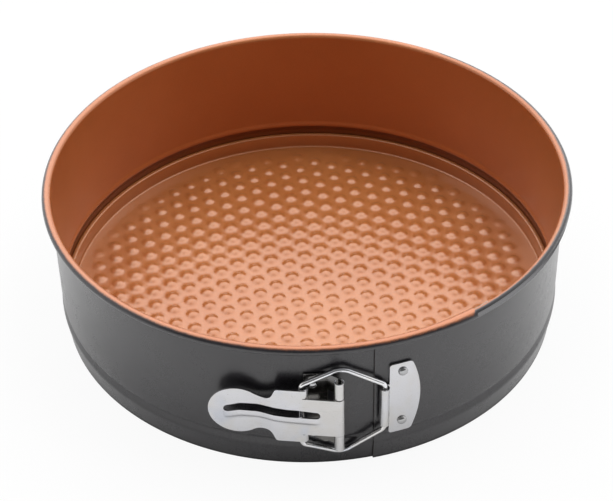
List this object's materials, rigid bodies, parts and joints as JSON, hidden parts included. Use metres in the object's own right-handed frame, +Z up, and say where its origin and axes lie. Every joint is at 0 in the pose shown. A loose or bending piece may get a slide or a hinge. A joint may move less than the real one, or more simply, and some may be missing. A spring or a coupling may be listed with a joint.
{
  "type": "springform baking pan",
  "caption": "Round springform baking pan: a split steel band with a rolled rim, a bumpy drop-in base, and an over-centre lever latch with a wire loop.",
  "frame": {"origin": "on the table, under the middle of the whole part with its latch; the pan's own axis stands 2.18 mm behind it on +Y", "axes": "+Z up along the pan's axis, -Y towards the latch, +X to the right of someone facing the latch"},
  "size_m": [0.252, 0.2564, 0.0725],
  "materials": {
    "band_coating": "satin non-stick coating",
    "base_coating": "satin metallic non-stick coating",
    "latch_zinc": "bright zinc plate"
  },
  "bodies": {
    "pan": {"band": "band_coating", "base_disc": "base_coating", "hinge_bracket": "latch_zinc", "hinge_pin": "latch_zinc", "keeper": "latch_zinc", "rivet_keeper_upper": "latch_zinc", "rivet_keeper_lower": "latch_zinc", "rivet_hinge_upper": "latch_zinc", "rivet_hinge_lower": "latch_zinc"},
    "lever": {"lever": "latch_zinc"},
    "wire": {"wire_loop": "latch_zinc"}
  },
  "joints": [
    {"name": "lever_swing", "type": "hinge", "parent": "pan", "child": "lever", "pos_m": [0.01205, -0.12572, 0.0359], "axis": [0, 0, 1], "range_deg": [0, 150]},
    {"name": "wire_swing", "type": "hinge", "parent": "pan", "child": "wire", "pos_m": [0.03187, -0.11931, 0.0349], "axis": [0, 0, 1], "range_deg": [0, 68]}
  ],
  "couplings": [
    {"joint": "wire_swing", "follows": "lever_swing", "ratio": 0.4525}
  ]
}
